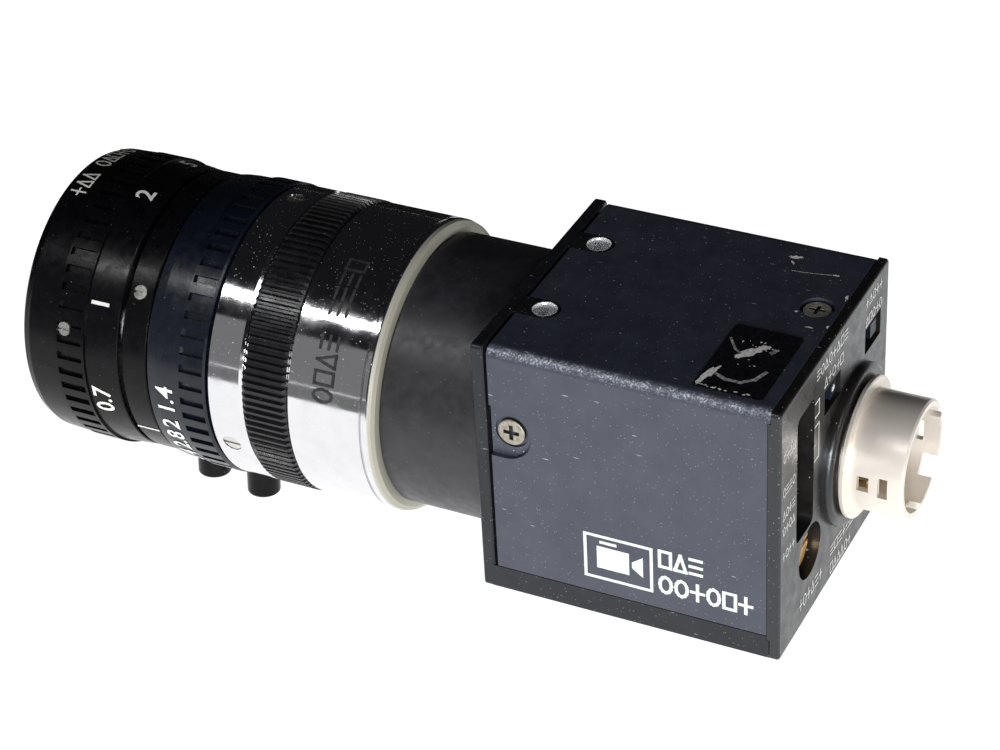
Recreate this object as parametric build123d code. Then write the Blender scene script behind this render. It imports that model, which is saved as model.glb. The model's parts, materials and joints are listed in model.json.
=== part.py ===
from build123d import *
import os
from math import cos, sin, radians

# Small industrial CCD camera with a manual C-mount lens. Millimetres, +Z up.
# The parts are drawn from the camera's front face and the optical axis: y runs back into
# the body, s runs forward along the lens, and z is measured from the axis. export() then
# moves them so that the origin lies between the two tapped holes in the base face.

# ---- driving dimensions -------------------------------------------------------------
BODY_W = 29.8            # width of the cube body
BODY_L = 32.3            # front face to the outside of the rear panel
HALF = BODY_W / 2        # side faces and top face from the axis
BASE = -14.7             # base face
TAP_Y = 4.15             # tapped holes behind the front face
TOP_TAP_X = 6.5          # half the spacing of the top pair
BASE_TAP_X = 5.0         # half the spacing of the base pair
TAP_R = 1.25             # tapped hole wall, M3
TAP_DEPTH = 3.6
SMALL_TAP_R = 0.85       # tapped hole wall, M2
PLATE_T = 1.34           # front plate
FLOOR_TOP = -11.85       # top of the chassis floor
COVER_T = 1.0            # cover sheet
COVER_Y = (1.65, 31.25)  # cover, front edge to rear edge
COVER_SIDE_Y = 30.92     # rear edge of the cover's sides
BLOCK_Y = 7.0            # rear face of the chassis front block
BARREL_R = 14.45         # black mount barrel
FLANGE_S = 11.4          # lens seat ahead of the front face
THREAD_R = 12.7          # 1-32 UN lens thread, outside radius
SENSOR_Y = 17.526 - FLANGE_S
SIDE_SCREW = (3.85, 5.15)      # y, z
TOP_SCREW = (-3.65, 28.85)     # x, y
BASE_SCREW = (11.4, 27.6)      # x, y
BARREL_SCREW = 8.84            # x and z of the four screws behind the barrel
BOARD_SCREW = (11.6, 10.3)     # x, z
BOARD_Y = (9.0, 13.6, 18.4, 23.0)   # front faces of the four boards
BOARD_T = 1.0
PANEL_Y = 31.3           # rear panel, inside of its outer plate
PANEL_STEP_Y = 30.2      # rear panel, inside of the step that enters the cover
CONNECTOR = (-4.7, -1.2)       # x, z of the round connector
CONNECTOR_SEAT_Y = 33.3        # raised ring that the connector sits on
SHELL_R = 6.2
SHELL_BORE = 5.5
SHELL_END_Y = 39.85
SLOT_X = (6.0, 10.55)
SLOT_Z = (-3.4, 11.4)
GAIN = (6.7, -6.7)             # x, z of the gain control
GAIN_HOLE_R = 3.0
WINDOWS = (((-1.1, 3.25), (7.3, 10.1)), ((-12.6, -8.1), (7.3, 10.3)))   # x, z spans
DIP_FACE_Y = 27.0
SWITCH_FACE_Y = 28.4
SLIDER_TIP_Y = 32.1
SWITCH_STEP = 0.65       # half the throw of every slide switch
DIP_KEYS = 6
DIP_PITCH = 2.54
TUBE_R = 14.25           # lens inner tube that the rings turn on
RING_R = 14.32           # bore of the turning rings
CELL_R = 12.7            # sliding front cell
CELL_BORE = 12.8         # bore that the cell slides in
FILTER_R = 13.5          # filter thread in the front rim
FILTER_S = (50.4, 53.0)
KNURL_SLOTS = 52
GRIP_TEETH = 120
KNOB_ANGLE = -84.0       # lock knobs, from +X towards +Z
KNOB_R = 1.85
FOCUS_LOCK_S = 40.2
IRIS_LOCK_S = 33.9
BAND_SCREWS = (-17.0, 98.0, 220.0)
FOCUS_SCREWS = (18.0, 138.0, 258.0)
INDEX_SCREW = 38.8
BLADES = 5
BLADE_PIVOT_R = 11.2
BLADE_SET = 8.6          # how far each blade is swung in from fully open
CAVITY_S = (33.2, 34.2)  # iris chamber


# ---- helpers ------------------------------------------------------------------------
def block(x, y, z):
    """A box from its three (low, high) spans."""
    centre = [(low + high) / 2 for low, high in (x, y, z)]
    return Pos(*centre) * Box(x[1] - x[0], y[1] - y[0], z[1] - z[0])


def rod(radius, low, high):
    """A round bar along local Z."""
    return Pos(0, 0, (low + high) / 2) * Cylinder(radius, high - low)


def tube(outer, inner, low, high):
    return rod(outer, low, high) - rod(inner, low, high)


def turned(profile):
    """A solid of revolution about local Z from (radius, height) points."""
    return revolve(make_face(Plane.XZ * Polyline(*profile, close=True)), Axis.Z)


def facing_back(shape, x=0, z=0):
    """Local Z points to the rear of the camera, and local height is y."""
    return Pos(x, 0, z) * Rot(-90, 0, 0) * shape


def facing_front(shape):
    """Local Z points forward along the optical axis, and local height is s."""
    return Rot(90, 0, 0) * shape


def radial(shape, angle, s):
    """In lens coordinates: local Z points outwards at angle, at height s."""
    return Pos(0, 0, s) * Rot(0, 0, angle) * Rot(0, 90, 0) * shape


def tapped_hole(depth):
    """A hole going down from local Z = 0, with a small lead-in."""
    return rod(TAP_R, -depth, 0.01) + turned([(0, -0.15), (TAP_R, -0.15), (TAP_R + 0.15, 0.01), (0, 0.01)])


def cross_screw(head_r, head_h, shank_r, shank_l):
    """A pan-head screw standing on local Z = 0 with its shank below."""
    head = rod(head_r, 0, head_h)
    head = fillet(head.edges().group_by(Axis.Z)[-1], head_h * 0.4)
    arm = Box(head_r * 1.15, head_r * 0.3, head_h)
    recess = arm + Rot(0, 0, 90) * arm
    return head - Pos(0, 0, head_h * 0.85) * recess + rod(shank_r, -shank_l, 0)


def set_screw(radius, low, high):
    slot = Pos(0, 0, high) * Box(3 * radius, 0.3, 0.6)
    return rod(radius, low, high) - slot


def export(name, shapes):
    """Writes one node in the row's frame."""
    solids = shapes if isinstance(shapes, list) else [shapes]
    moved = [Pos(0, -TAP_Y, -BASE) * solid for solid in solids]
    whole = moved[0] if len(moved) == 1 else Compound(children=moved)
    export_step(whole, f"parts/{name}.step")


# ---- camera body --------------------------------------------------------------------
def plate_blank(low, high, corner):
    """A full-section plate with rounded corners."""
    plate = block((-HALF, HALF), (low, high), (BASE, HALF))
    return fillet(plate.edges().filter_by(Axis.Y), corner)


def front_chassis():
    """Front plate, thick block behind it and the floor, in one piece."""
    plate = plate_blank(0, PLATE_T, 0.45)
    body = chamfer(plate.edges().group_by(Axis.Y)[0] + plate.edges().group_by(Axis.Y)[-1], 0.15)
    inside = HALF - COVER_T - 0.1
    body += block((-inside, inside), (PLATE_T, BLOCK_Y), (FLOOR_TOP, inside))
    floor = block((-HALF, HALF), (PLATE_T - 0.3, 31.2), (BASE, FLOOR_TOP))
    body += chamfer(floor.edges().filter_by(Axis.Y).group_by(Axis.Z)[0], 0.25)
    for side in (-1, 1):
        x = side * TOP_TAP_X
        body += block((x - 1.5, x + 1.5), (PLATE_T, TAP_Y), (inside, HALF))
        body += Pos(x, TAP_Y, 0) * rod(1.5, inside, HALF)
        body -= Pos(x, TAP_Y, HALF) * tapped_hole(TAP_DEPTH)
        body -= Pos(side * BASE_TAP_X, TAP_Y, BASE) * Rot(180, 0, 0) * tapped_hole(TAP_DEPTH)
        reach = side * (inside - 1.6)
        body -= Pos(reach, *SIDE_SCREW) * Rot(0, 90, 0) * Cylinder(SMALL_TAP_R, 3.3)
        body -= Pos(side * BASE_SCREW[0], BASE_SCREW[1], 0) * countersink()
        corner = sorted((side * (inside - 0.1), side * (HALF + 1)))
        body -= block(corner, (COVER_SIDE_Y, BODY_L), (-12.35, FLOOR_TOP + 1))
        for up in (-1, 1):
            screw = rod(1.05, 0, BLOCK_Y) + rod(1.95, 4.6, BLOCK_Y)
            body -= facing_back(screw, side * BARREL_SCREW, up * BARREL_SCREW)
            body -= facing_back(rod(0.8, 4.2, BLOCK_Y), side * BOARD_SCREW[0], up * BOARD_SCREW[1])
    body -= facing_back(rod(9.8, 0, 1.6))
    body -= block((-6.7, 6.7), (1.6, 2.7), (-6.2, 6.2))
    body -= block((-5.2, 5.2), (2.7, 3.7), (-4.4, 4.4))
    body -= block((-7.6, 7.6), (3.7, BLOCK_Y), (-7.1, 7.1))
    return body


def countersink():
    head = turned([(0, BASE), (1.9, BASE), (1.0, BASE + 1.3), (0, BASE + 1.3)])
    return head + rod(1.0, BASE, FLOOR_TOP)


def mount_barrel():
    """Black barrel with the lens thread in its front end."""
    profile = [
        (10.6, 0), (BARREL_R, 0), (BARREL_R, FLANGE_S - 0.35), (BARREL_R - 0.35, FLANGE_S),
        (THREAD_R + 0.3, FLANGE_S), (THREAD_R + 0.05, FLANGE_S - 0.3),
        (THREAD_R + 0.05, 6.3), (10.6, 6.3),
    ]
    barrel = turned(profile)
    for side in (-1, 1):
        for up in (-1, 1):
            barrel -= Pos(side * BARREL_SCREW, up * BARREL_SCREW, 0) * rod(1.0, 0, 4.2)
    return facing_front(barrel)


def barrel_screws():
    screw = cross_screw(1.8, 1.2, 0.95, 8.4)
    return [
        facing_back(Pos(0, 0, 4.6) * screw, side * BARREL_SCREW, up * BARREL_SCREW)
        for side in (-1, 1) for up in (-1, 1)
    ]


def top_cover():
    """U-shaped sheet: top and two sides."""
    low = FLOOR_TOP + 0.1
    sheet = block((-HALF, HALF), COVER_Y, (low, HALF))
    top_edges = sheet.edges().filter_by(Axis.Y).group_by(Axis.Z)[-1]
    sheet = fillet(top_edges, 1.2)
    sheet = chamfer(sheet.edges().group_by(Axis.Y)[0] + sheet.edges().group_by(Axis.Y)[-1], 0.12)
    inner = HALF - COVER_T
    hollow = block((-inner, inner), (0, BODY_L), (low - 1, inner))
    hollow = fillet(hollow.edges().filter_by(Axis.Y).group_by(Axis.Z)[-1], 0.4)
    sheet -= hollow
    for side in (-1, 1):
        x = side * TOP_TAP_X
        sheet -= block((x - 1.65, x + 1.65), (1, TAP_Y), (inner - 1, HALF + 1))
        sheet -= Pos(x, TAP_Y, 0) * rod(1.65, inner - 1, HALF + 1)
        face = Pos(side * (HALF - 0.55), *SIDE_SCREW) * Rot(0, side * 90, 0)
        sheet -= Pos(side * HALF, 0, 0) * side_pocket()
        sheet -= face * (rod(1.8, -0.25, 1) + rod(1.0, -1, 0))
        edge = sorted((side * (inner - 1), side * (HALF + 1)))
        sheet -= block(edge, (COVER_SIDE_Y, BODY_L), (low - 1, inner - 0.2))
    return sheet - Pos(*TOP_SCREW, 0) * (rod(1.75, HALF - 0.7, HALF + 1) + rod(1.0, inner - 1, HALF))


def side_pocket():
    """Shallow pocket open to the front, with a round rear end."""
    y = SIDE_SCREW[0] - 0.65
    z = SIDE_SCREW[1]
    end = Pos(0, y, z) * Rot(0, 90, 0) * Cylinder(3.0, 1.1)
    return end + block((-0.55, 0.55), (1, y), (z - 3.0, z + 3.0))


def cover_side_screws():
    screw = cross_screw(1.5, 0.45, 0.8, 3.0)
    seat = HALF - 0.8
    return [Pos(side * seat, *SIDE_SCREW) * Rot(0, side * 90, 0) * screw for side in (-1, 1)]


def cover_rear_screw():
    return Pos(*TOP_SCREW, HALF - 0.7) * cross_screw(1.45, 0.45, 0.8, 2.7)


def base_screws():
    head = turned([(0, BASE), (1.8, BASE), (0.8, BASE + 1.25), (0, BASE + 1.25)])
    arm = Pos(0, 0, BASE) * Box(2.0, 0.45, 0.9)
    screw = head + rod(0.8, BASE + 1.0, -9.0) - arm - Rot(0, 0, 90) * arm
    return [Pos(side * BASE_SCREW[0], BASE_SCREW[1], 0) * screw for side in (-1, 1)]


def rear_panel():
    """Rear plate with its openings, the raised ring and the three screw tabs."""
    plate = plate_blank(PANEL_Y, BODY_L, 0.45)
    plate = fillet(plate.edges().group_by(Axis.Y)[-1], 0.35)
    inside = HALF - COVER_T - 0.1
    plate += block((-inside, inside), (PANEL_STEP_Y, PANEL_Y), (FLOOR_TOP + 0.1, inside))
    plate += block((-6.8, -0.8), (26.4, PANEL_STEP_Y), (11.0, inside))
    plate -= Pos(*TOP_SCREW, 0) * rod(SMALL_TAP_R, 10.9, inside)
    for side in (-1, 1):
        flange = sorted((side * inside, side * HALF))
        plate += block(flange, (COVER_SIDE_Y + 0.05, PANEL_Y), (-12.3, inside - 0.15))
        x = side * BASE_SCREW[0]
        plate += block((x - 1.8, x + 1.8), (25.6, PANEL_STEP_Y), (FLOOR_TOP + 0.1, -8.6))
        plate -= Pos(x, BASE_SCREW[1], 0) * rod(SMALL_TAP_R, FLOOR_TOP, -8.8)
    ring = fillet(rod(8.5, PANEL_Y, CONNECTOR_SEAT_Y).edges().group_by(Axis.Z)[-1], 0.6)
    plate += facing_back(ring, *CONNECTOR)
    plate -= facing_back(rod(SHELL_R + 0.05, 20, 40), *CONNECTOR)
    slot = block(SLOT_X, (PANEL_STEP_Y - 1, BODY_L + 1), SLOT_Z)
    plate -= fillet(slot.edges().filter_by(Axis.Y), 0.8)
    plate -= facing_back(rod(GAIN_HOLE_R, PANEL_STEP_Y - 1, BODY_L + 1), *GAIN)
    for x, z in WINDOWS:
        plate -= block(x, (PANEL_STEP_Y - 1, BODY_L + 2), z)
    return plate


def worn_label():
    label = block((2.0, 13.35), (22.65, 29.75), (HALF, HALF + 0.08))
    return fillet(label.edges().filter_by(Axis.Z), 0.4)


# ---- imaging parts ------------------------------------------------------------------
def optical_filter():
    return block((-6.5, 6.5), (1.6, 2.7), (-6.0, 6.0))


def sensor_gasket():
    return block((-7.2, 7.2), (3.7, 4.7), (-6.4, 6.4)) - block((-4.9, 4.9), (3, 5), (-4.1, 4.1))


def ccd_leads():
    """Centres (x, z) of the sensor's leads."""
    return [(1.5 * i - 4.5, side * 5.9) for side in (-1, 1) for i in range(7)]


def ccd_package():
    body = block((-6.1, 6.1), (5.4, 8.0), (-5.7, 5.7))
    body -= block((-4.9, 4.9), (5.0, 6.5), (-4.1, 4.1))
    die = block((-3.2, 3.2), (SENSOR_Y, 6.5), (-2.4, 2.4))
    leads = [block((x - 0.2, x + 0.2), (7.0, 10.4), (z - 0.2, z + 0.2)) for x, z in ccd_leads()]
    return [body, die] + leads


def ccd_cover_glass():
    return block((-5.3, 5.3), (4.7, 5.4), (-4.6, 4.6))


# ---- boards -------------------------------------------------------------------------
def board(index):
    front = BOARD_Y[index]
    sheet = block((-12.8, 12.8), (front, front + BOARD_T), (-11.45, 12.9))
    for side in (-1, 1):
        for up in (-1, 1):
            hole = rod(0.8, front - 1, front + 2)
            sheet -= facing_back(hole, side * BOARD_SCREW[0], up * BOARD_SCREW[1])
    return sheet


def sensor_board():
    holes = [facing_back(rod(0.4, 8, 11), x, z) for x, z in ccd_leads()]
    return board(0) - holes


def board_spacers():
    gaps = [(BLOCK_Y, BOARD_Y[0])]
    gaps += [(BOARD_Y[i] + BOARD_T, BOARD_Y[i + 1]) for i in range(3)]
    spots = [(a * BOARD_SCREW[0], b * BOARD_SCREW[1]) for a in (-1, 1) for b in (-1, 1)]
    return [facing_back(tube(1.1, 0.8, *gap), *spot) for gap in gaps for spot in spots]


def board_screws():
    back = BOARD_Y[3] + BOARD_T
    screw = Pos(0, 0, back) * cross_screw(1.1, 0.9, 0.75, back - 4.4)
    spots = [(a * BOARD_SCREW[0], b * BOARD_SCREW[1]) for a in (-1, 1) for b in (-1, 1)]
    return [facing_back(screw, *spot) for spot in spots]


def board_connectors():
    spans = [((9.2, 12.2), 0), ((-11.0, -8.0), 1), ((9.2, 12.2), 2)]
    return [
        block((-8, 8), (BOARD_Y[i] + BOARD_T, BOARD_Y[i + 1]), z) for z, i in spans
    ]


def board_chips():
    """The larger parts soldered to the boards."""
    chips = [
        block((-6, 6), (12.0, 13.6), (-7, 5)),
        block((-9, 1), (16.9, 18.4), (-5, 5)),
        block((-11, -7), (10.0, 12.4), (-4, 6)),
    ]
    cans = [(3.0, 22.2, 7.0, -4.0), (2.0, 22.4, -8.5, -6.0), (2.0, 22.4, -8.5, 0.0), (2.0, 22.4, -8.5, 6.0)]
    return chips + [facing_back(rod(r, 19.4, top), x, z) for r, top, x, z in cans]


# ---- rear controls ------------------------------------------------------------------
DIP_X = sum(SLOT_X) / 2
DIP_Z = sum(SLOT_Z) / 2


def dip_key_z(index):
    return DIP_Z + (index - (DIP_KEYS - 1) / 2) * DIP_PITCH


def screw_reliefs():
    """Room for the heads of the board screws."""
    spots = [(a * BOARD_SCREW[0], b * BOARD_SCREW[1]) for a in (-1, 1) for b in (-1, 1)]
    return [facing_back(rod(1.25, 23, 25.1), *spot) for spot in spots]


def dip_switch_body():
    body = block((DIP_X - 2.55, DIP_X + 2.55), (24.0, DIP_FACE_Y), (DIP_Z - 8.2, DIP_Z + 8.2))
    for index in range(DIP_KEYS):
        z = dip_key_z(index)
        body -= block((DIP_X - 1.55, DIP_X + 1.55), (25.6, 28), (z - 0.75, z + 0.75))
    return body - screw_reliefs()


def dip_key(index):
    z = dip_key_z(index)
    x = DIP_X - SWITCH_STEP
    return block((x - 0.75, x + 0.75), (25.7, DIP_FACE_Y + 0.6), (z - 0.65, z + 0.65))


def window_centre(index):
    x, z = WINDOWS[index]
    return sum(x) / 2, sum(z) / 2


def slide_switch_bodies():
    bodies = []
    for index in range(len(WINDOWS)):
        x, z = window_centre(index)
        body = block((x - 2.8, x + 2.8), (24.0, SWITCH_FACE_Y), (z - 1.6, z + 1.6))
        body -= block((x - 1.6, x + 1.6), (26.4, 29), (z - 0.9, z + 0.9))
        bodies.append(body - screw_reliefs())
    return bodies


def switch_slider(index):
    x, z = window_centre(index)
    x -= SWITCH_STEP
    return block((x - 0.8, x + 0.8), (26.5, SLIDER_TIP_Y), (z - 0.8, z + 0.8))


def gain_trimmer_body():
    body = block((GAIN[0] - 2.1, GAIN[0] + 2.1), (24.0, 30.1), (GAIN[1] - 2.1, GAIN[1] + 2.1))
    return body - facing_back(rod(1.3, 28.4, 31), *GAIN)


def gain_rotor():
    rotor = rod(1.2, 28.5, 30.3) + rod(2.05, 30.2, 31.3)
    rotor -= Pos(0, 0, 31.3) * Box(5, 0.5, 1.0)
    return facing_back(rotor, *GAIN)


# ---- round connector ----------------------------------------------------------------
# Cuts in the shell wall: angle from +X towards +Z, width, low and high y.
SHELL_CUTS = (
    (0.0, 1.75, 35.1, 36.35), (-0.8, 2.4, 37.25, 38.3), (-175.5, 2.3, 37.4, 38.1),
    (-138.5, 2.3, 38.3, 41.0), (154.5, 1.4, 38.6, 41.0), (-84.5, 1.2, 38.6, 41.0),
)


def connector_shell():
    seat = CONNECTOR_SEAT_Y
    profile = [
        (5.15, 27.2), (SHELL_R, 27.2), (SHELL_R, seat), (6.5, seat), (6.5, 33.6),
        (7.25, 33.6), (7.4, 33.7), (7.4, 34.05), (7.25, 34.15), (SHELL_R, 34.15),
        (SHELL_R, SHELL_END_Y - 0.2), (SHELL_R - 0.2, SHELL_END_Y), (SHELL_BORE, SHELL_END_Y),
        (SHELL_BORE, 32.6), (5.15, 32.6),
    ]
    shell = turned(profile)
    for angle, width, low, high in SHELL_CUTS:
        cutter = Pos(SHELL_R, 0, (low + high) / 2) * Box(2.4, width, high - low)
        shell -= Rot(0, 0, -angle) * cutter
    return facing_back(shell, *CONNECTOR)


def connector_nut():
    nut = extrude(RegularPolygon(7.8, 6), 2.0) - rod(SHELL_R + 0.02, -1, 3)
    return facing_back(Pos(0, 0, PANEL_STEP_Y - 2.0) * nut, *CONNECTOR)


def pin_spots():
    outer = [(3.7, 40 * i + 10) for i in range(9)]
    inner = [(1.5, 120 * i + 30) for i in range(3)]
    return [(r * cos(radians(a)), r * sin(radians(a))) for r, a in outer + inner]


def connector_insert():
    disc = rod(5.1, 27.6, 32.6) - [Pos(x, y, 0) * rod(0.4, 27, 35) for x, y in pin_spots()]
    return facing_back(disc, *CONNECTOR)


def connector_pins():
    pin = rod(0.36, 24.0, 35.2)
    pin = fillet(pin.edges().group_by(Axis.Z)[-1], 0.3)
    return [facing_back(Pos(x, y, 0) * pin, *CONNECTOR) for x, y in pin_spots()]


# ---- lens, fixed rings --------------------------------------------------------------
def lens_rear_barrel():
    """Bright barrel with the lens thread at its back."""
    profile = [
        (11.0, 7.4), (THREAD_R - 0.35, 7.4), (THREAD_R - 0.05, 7.7), (THREAD_R - 0.05, FLANGE_S),
        (15.1, FLANGE_S), (15.55, FLANGE_S + 0.25), (15.7, FLANGE_S + 0.8),
        (15.7, 12.6), (15.45, 12.65), (15.45, 12.85), (15.7, 12.9), (15.7, 21.1), (15.4, 21.4),
        (13.9, 21.4), (13.9, 26.6), (11.0, 26.6),
    ]
    return facing_front(turned(profile))


def knurled(outer, inner, low, high, slots, depth, width, s):
    """A turned ring with shallow slots cut along it over the span s."""
    cutter = Pos(outer, 0, (s[0] + s[1]) / 2) * Box(2 * depth, width, s[1] - s[0])
    ring = tube(outer, inner, low, high)
    return ring - [Rot(0, 0, 360 * i / slots) * cutter for i in range(slots)]


def lens_grip_ring():
    """Ring with fine straight knurling."""
    step = 360 / GRIP_TEETH
    points = []
    for i in range(GRIP_TEETH):
        for part, radius in ((0.0, 15.4), (0.3, 15.4), (0.5, 15.8), (0.8, 15.8)):
            angle = radians((i + part) * step)
            points.append((radius * cos(angle), radius * sin(angle)))
    ring = extrude(make_face(Polyline(*points, close=True)), 5.1)
    limits = turned([(0, 0), (15.4, 0), (15.8, 0.4), (15.8, 4.7), (15.4, 5.1), (0, 5.1)])
    ring = (ring & limits) - rod(13.95, -1, 6)
    return facing_front(Pos(0, 0, 21.45) * ring)


def lens_mid_barrel():
    """Bright band, inner tube and iris chamber in one piece."""
    profile = [
        (9.85, 23.0), (10.95, 23.0), (10.95, 26.6), (15.45, 26.6), (15.75, 26.9), (15.75, 30.5),
        (15.5, 30.8), (TUBE_R, 30.8), (TUBE_R, 46.2), (CELL_BORE, 46.2), (CELL_BORE, 35.4), (8.2, 35.4),
        (8.2, CAVITY_S[1]), (12.5, CAVITY_S[1]), (12.5, CAVITY_S[0]), (9.85, CAVITY_S[0]),
    ]
    barrel = turned(profile)
    for angle in BAND_SCREWS:
        barrel -= radial(rod(1.05, 13.0, 17), angle, 28.7)
    barrel -= radial(rod(0.85, 12, 16), KNOB_ANGLE, FOCUS_LOCK_S)
    for index in range(BLADES):
        x, y = pivot(index)
        barrel -= Pos(x, y, 0) * rod(0.35, CAVITY_S[0] - 0.8, CAVITY_S[0])
    return facing_front(barrel)


def lens_index_band():
    band = tube(15.3, TUBE_R, 38.4, 41.3)
    band = chamfer(band.edges().filter_by(GeomType.CIRCLE).sort_by(SortBy.RADIUS)[-2:], 0.12)
    band -= radial(rod(0.8, 12, 17), INDEX_SCREW, 40.0)
    band -= radial(rod(0.85, 12, 17), KNOB_ANGLE, FOCUS_LOCK_S)
    return facing_front(band)


def band_set_screws():
    return [facing_front(radial(set_screw(1.0, 13.05, 15.65), a, 28.7)) for a in BAND_SCREWS]


def index_set_screw():
    return facing_front(radial(set_screw(0.75, 14.3, 15.25), INDEX_SCREW, 40.0))


# ---- lens, moving rings -------------------------------------------------------------
def iris_ring():
    smooth = turned([(RING_R, 34.2), (15.7, 34.2), (15.6, 37.0), (15.5, 38.0), (15.4, 38.1), (RING_R, 38.1)])
    grip = knurled(15.9, RING_R, 30.95, 34.2, KNURL_SLOTS, 0.4, 0.85, (31.2, 34.0))
    edge = grip.edges().filter_by(GeomType.CIRCLE).group_by(Axis.Z)[0].sort_by(SortBy.RADIUS)[-1]
    ring = chamfer(edge, 0.2) + smooth
    ring -= radial(rod(0.85, 12, 18), KNOB_ANGLE, IRIS_LOCK_S)
    return facing_front(ring)


def focus_ring():
    scale = turned([(RING_R, 41.9), (15.2, 41.9), (15.3, 42.0), (15.62, 45.7), (RING_R, 45.7)])
    grip = knurled(15.85, CELL_BORE, 45.7, 49.2, KNURL_SLOTS, 0.4, 0.85, (46.0, 49.0))
    grip -= rod(RING_R, 45, 46.5)
    rim = turned([
        (CELL_BORE, 49.2), (15.78, 49.2), (15.62, 52.6), (15.3, 53.4), (15.1, 53.6),
        (14.2, 53.6), (FILTER_R, FILTER_S[1]), (FILTER_R, FILTER_S[0]), (CELL_BORE, FILTER_S[0]),
    ])
    ring = scale + grip + rim
    for angle in FOCUS_SCREWS:
        ring -= radial(rod(0.8, 13, 18), angle, 48.2)
    return facing_front(ring)


def focus_set_screws():
    return [facing_front(radial(set_screw(0.75, 13.65, 15.7), a, 48.2)) for a in FOCUS_SCREWS]


def lock_knob(shank_from, head_from, tip):
    knob = rod(KNOB_R, head_from, tip)
    knob = fillet(knob.edges().group_by(Axis.Z)[-1], 0.35)
    return knob + rod(0.8, shank_from, head_from)


def iris_lock_knob():
    return facing_front(radial(lock_knob(14.32, 16.3, 21.1), KNOB_ANGLE, IRIS_LOCK_S))


def focus_lock_knob():
    return facing_front(radial(lock_knob(12.95, 16.2, 20.2), KNOB_ANGLE, FOCUS_LOCK_S))


def pivot(index):
    angle = radians(360 / BLADES * index)
    return BLADE_PIVOT_R * cos(angle), BLADE_PIVOT_R * sin(angle)


def iris_blade(index):
    """A crescent leaf on its own pivot pin, swung part of the way in."""
    wedge = make_face(Polyline((0, 0), (20, 0), (20, 20), (-16, 20), (-6, 16.5), close=True))
    leaf = (Circle(10.7) - Circle(7.6)) & wedge
    leaf += Pos(BLADE_PIVOT_R - 0.35, 0) * Circle(0.9)
    leaf &= Circle(11.95)
    low = CAVITY_S[0] + 0.12 + 0.16 * index
    blade = Pos(0, 0, low) * extrude(leaf, 0.08)
    blade += Pos(BLADE_PIVOT_R, 0, 0) * rod(0.3, CAVITY_S[0] - 0.7, low + 0.04)
    blade = Pos(BLADE_PIVOT_R, 0, 0) * Rot(0, 0, BLADE_SET) * Pos(-BLADE_PIVOT_R, 0, 0) * blade
    return facing_front(Rot(0, 0, 360 / BLADES * index) * blade)


# ---- lens, optics -------------------------------------------------------------------
def front_cell():
    profile = [
        (8.6, 36.6), (CELL_R, 36.6), (CELL_R, 48.4), (11.6, 48.4), (11.6, 44.4),
        (9.6, 44.4), (9.6, 38.2), (8.6, 38.2),
    ]
    return facing_front(turned(profile))


def front_name_ring():
    profile = [
        (10.6, 47.2), (11.55, 47.2), (11.55, 48.4), (CELL_R, 48.4), (CELL_R, 49.9),
        (12.5, 49.9), (10.6, 48.9),
    ]
    return facing_front(turned(profile))


def glass(radius, back, back_rise, front, front_rise):
    """A lens element: edge faces at back and front, domes rising by the given heights."""
    outline = [Line((0, back - back_rise), (0, front + front_rise))]
    outline += bulge((0, front + front_rise), (radius, front))
    outline.append(Line((radius, front), (radius, back)))
    outline += bulge((radius, back), (0, back - back_rise))
    return facing_front(revolve(make_face(Plane.XZ * Curve(children=outline)), Axis.Z))


def bulge(start, end):
    """An arc of a sphere centred on the axis, or a line where it is flat."""
    apex, edge = (start, end) if start[0] == 0 else (end, start)
    rise = apex[1] - edge[1]
    if abs(rise) < 1e-6:
        return [Line(start, end)]
    sphere = (edge[0] ** 2 + rise ** 2) / (2 * rise)
    half = edge[0] / 2
    height = apex[1] - sphere + (sphere ** 2 - half ** 2) ** 0.5 * (1 if sphere > 0 else -1)
    return [ThreePointArc(start, (half, height), end)]


def front_element():
    return glass(11.5, 44.45, 0.0, 46.8, 2.1)


def front_doublet():
    return glass(9.5, 38.3, -0.9, 42.6, 1.2)


def rear_cell():
    profile = [
        (7.6, 12.0), (9.8, 12.0), (9.8, 32.6), (8.9, 32.6), (8.9, 26.0), (7.6, 26.0),
        (7.6, 17.5), (8.5, 17.5), (8.5, 13.0), (7.6, 13.0),
    ]
    return facing_front(turned(profile))


def middle_element():
    return glass(8.8, 26.1, -0.8, 30.2, 1.2)


def rear_element():
    return glass(8.4, 13.1, 0.0, 16.4, 0.9)


# ---- write every node ---------------------------------------------------------------
os.makedirs("parts", exist_ok=True)
NODES = [
    front_chassis, mount_barrel, barrel_screws, top_cover, cover_side_screws, cover_rear_screw,
    base_screws, rear_panel, worn_label, optical_filter, sensor_gasket, ccd_package,
    ccd_cover_glass, sensor_board, board_spacers, board_screws, board_connectors, board_chips,
    dip_switch_body, slide_switch_bodies, gain_trimmer_body, gain_rotor, connector_shell,
    connector_nut, connector_insert, connector_pins, lens_rear_barrel, lens_grip_ring,
    lens_mid_barrel, lens_index_band, band_set_screws, index_set_screw, iris_ring, focus_ring,
    focus_set_screws, iris_lock_knob, focus_lock_knob, front_cell, front_name_ring,
    front_element, front_doublet, rear_cell, middle_element, rear_element,
]
for node in NODES:
    export(node.__name__, node())
for index, name in enumerate(("signal_board", "power_board", "io_board"), start=1):
    export(name, board(index))
for index in range(DIP_KEYS):
    export(f"dip_key_{index + 1}", dip_key(index))
for index, name in enumerate(("termination_slider", "sync_slider")):
    export(name, switch_slider(index))
for index in range(BLADES):
    export(f"iris_blade_{index + 1}", iris_blade(index))
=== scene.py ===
import json
import math
import random
import bpy
from mathutils import Matrix, Vector


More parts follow.
